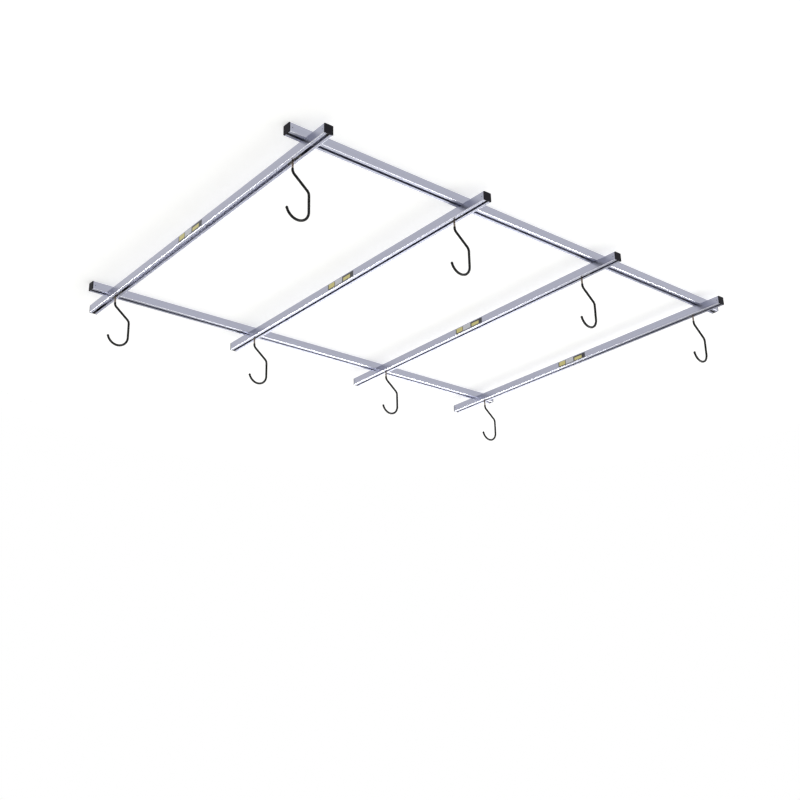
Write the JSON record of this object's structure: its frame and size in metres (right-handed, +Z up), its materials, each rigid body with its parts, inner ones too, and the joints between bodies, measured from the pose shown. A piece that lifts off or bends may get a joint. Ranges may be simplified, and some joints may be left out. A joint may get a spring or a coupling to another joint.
{
  "type": "ceiling bike rack",
  "caption": "Ceiling rack of crossed aluminium channel rails with coated swivelling hooks that roll along each lower rail on hidden trolleys.",
  "frame": {"origin": "on the ceiling plane, at the centre of the fixing holes", "axes": "+Z up into the ceiling, +X along the cross rails, +Y along the bike rails"},
  "size_m": [1.8622, 1.3932, 0.2319],
  "materials": {
    "anodised_aluminium": "satin anodised extrusion",
    "cap_plastic": "moulded, matte",
    "zinc_steel": "bright zinc plated",
    "label_film": "plain printed film without text",
    "carriage_plastic": "glass filled nylon",
    "wheel_plastic": "turned acetal",
    "hook_steel": "dull bronze zinc",
    "hook_coating": "dipped vinyl, satin"
  },
  "bodies": {
    "frame": {"cross_rail_front": "anodised_aluminium", "cross_rail_rear": "anodised_aluminium", "bike_rail_1": "anodised_aluminium", "bike_rail_2": "anodised_aluminium", "bike_rail_3": "anodised_aluminium", "bike_rail_4": "anodised_aluminium", "cross_rail_end_caps": "cap_plastic", "bike_rail_end_caps": "cap_plastic", "rail_bolts": "zinc_steel", "channel_nuts": "zinc_steel", "rail_labels": "label_film"},
    "trolley_1_front": {"carriage_1_front": "carriage_plastic", "axles_1_front": "zinc_steel"},
    "hook_1_front": {"hook_1_front": "hook_steel", "coating_1_front": "hook_coating"},
    "wheels_a_1_front": {"wheels_a_1_front": "wheel_plastic"},
    "wheels_b_1_front": {"wheels_b_1_front": "wheel_plastic"},
    "trolley_1_rear": {"carriage_1_rear": "carriage_plastic", "axles_1_rear": "zinc_steel"},
    "hook_1_rear": {"hook_1_rear": "hook_steel", "coating_1_rear": "hook_coating"},
    "wheels_a_1_rear": {"wheels_a_1_rear": "wheel_plastic"},
    "wheels_b_1_rear": {"wheels_b_1_rear": "wheel_plastic"},
    "trolley_2_front": {"carriage_2_front": "carriage_plastic", "axles_2_front": "zinc_steel"},
    "hook_2_front": {"hook_2_front": "hook_steel", "coating_2_front": "hook_coating"},
    "wheels_a_2_front": {"wheels_a_2_front": "wheel_plastic"},
    "wheels_b_2_front": {"wheels_b_2_front": "wheel_plastic"},
    "trolley_2_rear": {"carriage_2_rear": "carriage_plastic", "axles_2_rear": "zinc_steel"},
    "hook_2_rear": {"hook_2_rear": "hook_steel", "coating_2_rear": "hook_coating"},
    "wheels_a_2_rear": {"wheels_a_2_rear": "wheel_plastic"},
    "wheels_b_2_rear": {"wheels_b_2_rear": "wheel_plastic"},
    "trolley_3_front": {"carriage_3_front": "carriage_plastic", "axles_3_front": "zinc_steel"},
    "hook_3_front": {"hook_3_front": "hook_steel", "coating_3_front": "hook_coating"},
    "wheels_a_3_front": {"wheels_a_3_front": "wheel_plastic"},
    "wheels_b_3_front": {"wheels_b_3_front": "wheel_plastic"},
    "trolley_3_rear": {"carriage_3_rear": "carriage_plastic", "axles_3_rear": "zinc_steel"},
    "hook_3_rear": {"hook_3_rear": "hook_steel", "coating_3_rear": "hook_coating"},
    "wheels_a_3_rear": {"wheels_a_3_rear": "wheel_plastic"},
    "wheels_b_3_rear": {"wheels_b_3_rear": "wheel_plastic"},
    "trolley_4_front": {"carriage_4_front": "carriage_plastic", "axles_4_front": "zinc_steel"},
    "hook_4_front": {"hook_4_front": "hook_steel", "coating_4_front": "hook_coating"},
    "wheels_a_4_front": {"wheels_a_4_front": "wheel_plastic"},
    "wheels_b_4_front": {"wheels_b_4_front": "wheel_plastic"},
    "trolley_4_rear": {"carriage_4_rear": "carriage_plastic", "axles_4_rear": "zinc_steel"},
    "hook_4_rear": {"hook_4_rear": "hook_steel", "coating_4_rear": "hook_coating"},
    "wheels_a_4_rear": {"wheels_a_4_rear": "wheel_plastic"},
    "wheels_b_4_rear": {"wheels_b_4_rear": "wheel_plastic"}
  },
  "joints": [
    {"name": "slide_1_front", "type": "slide", "parent": "frame", "child": "trolley_1_front", "axis": [0, 1, 0], "range_m": [-0.116, 0.45]},
    {"name": "swivel_1_front", "type": "hinge", "parent": "trolley_1_front", "child": "hook_1_front", "pos_m": [-0.866, -0.5175, -0.08], "axis": [0, 0, 1], "continuous": true},
    {"name": "roll_a_1_front", "type": "hinge", "parent": "trolley_1_front", "child": "wheels_a_1_front", "pos_m": [-0.866, -0.5385, -0.0469], "axis": [1, 0, 0], "continuous": true},
    {"name": "roll_b_1_front", "type": "hinge", "parent": "trolley_1_front", "child": "wheels_b_1_front", "pos_m": [-0.866, -0.4965, -0.0469], "axis": [1, 0, 0], "continuous": true},
    {"name": "slide_1_rear", "type": "slide", "parent": "frame", "child": "trolley_1_rear", "axis": [0, 1, 0], "range_m": [-0.45, 0.121]},
    {"name": "swivel_1_rear", "type": "hinge", "parent": "trolley_1_rear", "child": "hook_1_rear", "pos_m": [-0.866, 0.5255, -0.08], "axis": [0, 0, 1], "continuous": true},
    {"name": "roll_a_1_rear", "type": "hinge", "parent": "trolley_1_rear", "child": "wheels_a_1_rear", "pos_m": [-0.866, 0.5045, -0.0469], "axis": [1, 0, 0], "continuous": true},
    {"name": "roll_b_1_rear", "type": "hinge", "parent": "trolley_1_rear", "child": "wheels_b_1_rear", "pos_m": [-0.866, 0.5465, -0.0469], "axis": [1, 0, 0], "continuous": true},
    {"name": "slide_2_front", "type": "slide", "parent": "frame", "child": "trolley_2_front", "axis": [0, 1, 0], "range_m": [-0.095, 0.45]},
    {"name": "swivel_2_front", "type": "hinge", "parent": "trolley_2_front", "child": "hook_2_front", "pos_m": [-0.305, -0.5435, -0.08], "axis": [0, 0, 1], "continuous": true},
    {"name": "roll_a_2_front", "type": "hinge", "parent": "trolley_2_front", "child": "wheels_a_2_front", "pos_m": [-0.305, -0.5645, -0.0469], "axis": [1, 0, 0], "continuous": true},
    {"name": "roll_b_2_front", "type": "hinge", "parent": "trolley_2_front", "child": "wheels_b_2_front", "pos_m": [-0.305, -0.5225, -0.0469], "axis": [1, 0, 0], "continuous": true},
    {"name": "slide_2_rear", "type": "slide", "parent": "frame", "child": "trolley_2_rear", "axis": [0, 1, 0], "range_m": [-0.45, 0.096]},
    {"name": "swivel_2_rear", "type": "hinge", "parent": "trolley_2_rear", "child": "hook_2_rear", "pos_m": [-0.305, 0.5455, -0.08], "axis": [0, 0, 1], "continuous": true},
    {"name": "roll_a_2_rear", "type": "hinge", "parent": "trolley_2_rear", "child": "wheels_a_2_rear", "pos_m": [-0.305, 0.5245, -0.0469], "axis": [1, 0, 0], "continuous": true},
    {"name": "roll_b_2_rear", "type": "hinge", "parent": "trolley_2_rear", "child": "wheels_b_2_rear", "pos_m": [-0.305, 0.5665, -0.0469], "axis": [1, 0, 0], "continuous": true},
    {"name": "slide_3_front", "type": "slide", "parent": "frame", "child": "trolley_3_front", "axis": [0, 1, 0], "range_m": [-0.108, 0.45]},
    {"name": "swivel_3_front", "type": "hinge", "parent": "trolley_3_front", "child": "hook_3_front", "pos_m": [0.287, -0.5155, -0.08], "axis": [0, 0, 1], "continuous": true},
    {"name": "roll_a_3_front", "type": "hinge", "parent": "trolley_3_front", "child": "wheels_a_3_front", "pos_m": [0.287, -0.5365, -0.0469], "axis": [1, 0, 0], "continuous": true},
    {"name": "roll_b_3_front", "type": "hinge", "parent": "trolley_3_front", "child": "wheels_b_3_front", "pos_m": [0.287, -0.4945, -0.0469], "axis": [1, 0, 0], "continuous": true},
    {"name": "slide_3_rear", "type": "slide", "parent": "frame", "child": "trolley_3_rear", "axis": [0, 1, 0], "range_m": [-0.45, 0.143]},
    {"name": "swivel_3_rear", "type": "hinge", "parent": "trolley_3_rear", "child": "hook_3_rear", "pos_m": [0.287, 0.5135, -0.08], "axis": [0, 0, 1], "continuous": true},
    {"name": "roll_a_3_rear", "type": "hinge", "parent": "trolley_3_rear", "child": "wheels_a_3_rear", "pos_m": [0.287, 0.4925, -0.0469], "axis": [1, 0, 0], "continuous": true},
    {"name": "roll_b_3_rear", "type": "hinge", "parent": "trolley_3_rear", "child": "wheels_b_3_rear", "pos_m": [0.287, 0.5345, -0.0469], "axis": [1, 0, 0], "continuous": true},
    {"name": "slide_4_front", "type": "slide", "parent": "frame", "child": "trolley_4_front", "axis": [0, 1, 0], "range_m": [-0.074, 0.45]},
    {"name": "swivel_4_front", "type": "hinge", "parent": "trolley_4_front", "child": "hook_4_front", "pos_m": [0.834, -0.5525, -0.08], "axis": [0, 0, 1], "continuous": true},
    {"name": "roll_a_4_front", "type": "hinge", "parent": "trolley_4_front", "child": "wheels_a_4_front", "pos_m": [0.834, -0.5735, -0.0469], "axis": [1, 0, 0], "continuous": true},
    {"name": "roll_b_4_front", "type": "hinge", "parent": "trolley_4_front", "child": "wheels_b_4_front", "pos_m": [0.834, -0.5315, -0.0469], "axis": [1, 0, 0], "continuous": true},
    {"name": "slide_4_rear", "type": "slide", "parent": "frame", "child": "trolley_4_rear", "axis": [0, 1, 0], "range_m": [-0.45, 0.13]},
    {"name": "swivel_4_rear", "type": "hinge", "parent": "trolley_4_rear", "child": "hook_4_rear", "pos_m": [0.834, 0.5235, -0.08], "axis": [0, 0, 1], "continuous": true},
    {"name": "roll_a_4_rear", "type": "hinge", "parent": "trolley_4_rear", "child": "wheels_a_4_rear", "pos_m": [0.834, 0.5025, -0.0469], "axis": [1, 0, 0], "continuous": true},
    {"name": "roll_b_4_rear", "type": "hinge", "parent": "trolley_4_rear", "child": "wheels_b_4_rear", "pos_m": [0.834, 0.5445, -0.0469], "axis": [1, 0, 0], "continuous": true}
  ],
  "couplings": [
    {"joint": "roll_a_1_front", "follows": "slide_1_front", "rad_per_m": -142.86},
    {"joint": "roll_b_1_front", "follows": "slide_1_front", "rad_per_m": -142.86},
    {"joint": "roll_a_1_rear", "follows": "slide_1_rear", "rad_per_m": -142.86},
    {"joint": "roll_b_1_rear", "follows": "slide_1_rear", "rad_per_m": -142.86},
    {"joint": "roll_a_2_front", "follows": "slide_2_front", "rad_per_m": -142.86},
    {"joint": "roll_b_2_front", "follows": "slide_2_front", "rad_per_m": -142.86},
    {"joint": "roll_a_2_rear", "follows": "slide_2_rear", "rad_per_m": -142.86},
    {"joint": "roll_b_2_rear", "follows": "slide_2_rear", "rad_per_m": -142.86},
    {"joint": "roll_a_3_front", "follows": "slide_3_front", "rad_per_m": -142.86},
    {"joint": "roll_b_3_front", "follows": "slide_3_front", "rad_per_m": -142.86},
    {"joint": "roll_a_3_rear", "follows": "slide_3_rear", "rad_per_m": -142.86},
    {"joint": "roll_b_3_rear", "follows": "slide_3_rear", "rad_per_m": -142.86},
    {"joint": "roll_a_4_front", "follows": "slide_4_front", "rad_per_m": -142.86},
    {"joint": "roll_b_4_front", "follows": "slide_4_front", "rad_per_m": -142.86},
    {"joint": "roll_a_4_rear", "follows": "slide_4_rear", "rad_per_m": -142.86},
    {"joint": "roll_b_4_rear", "follows": "slide_4_rear", "rad_per_m": -142.86}
  ]
}
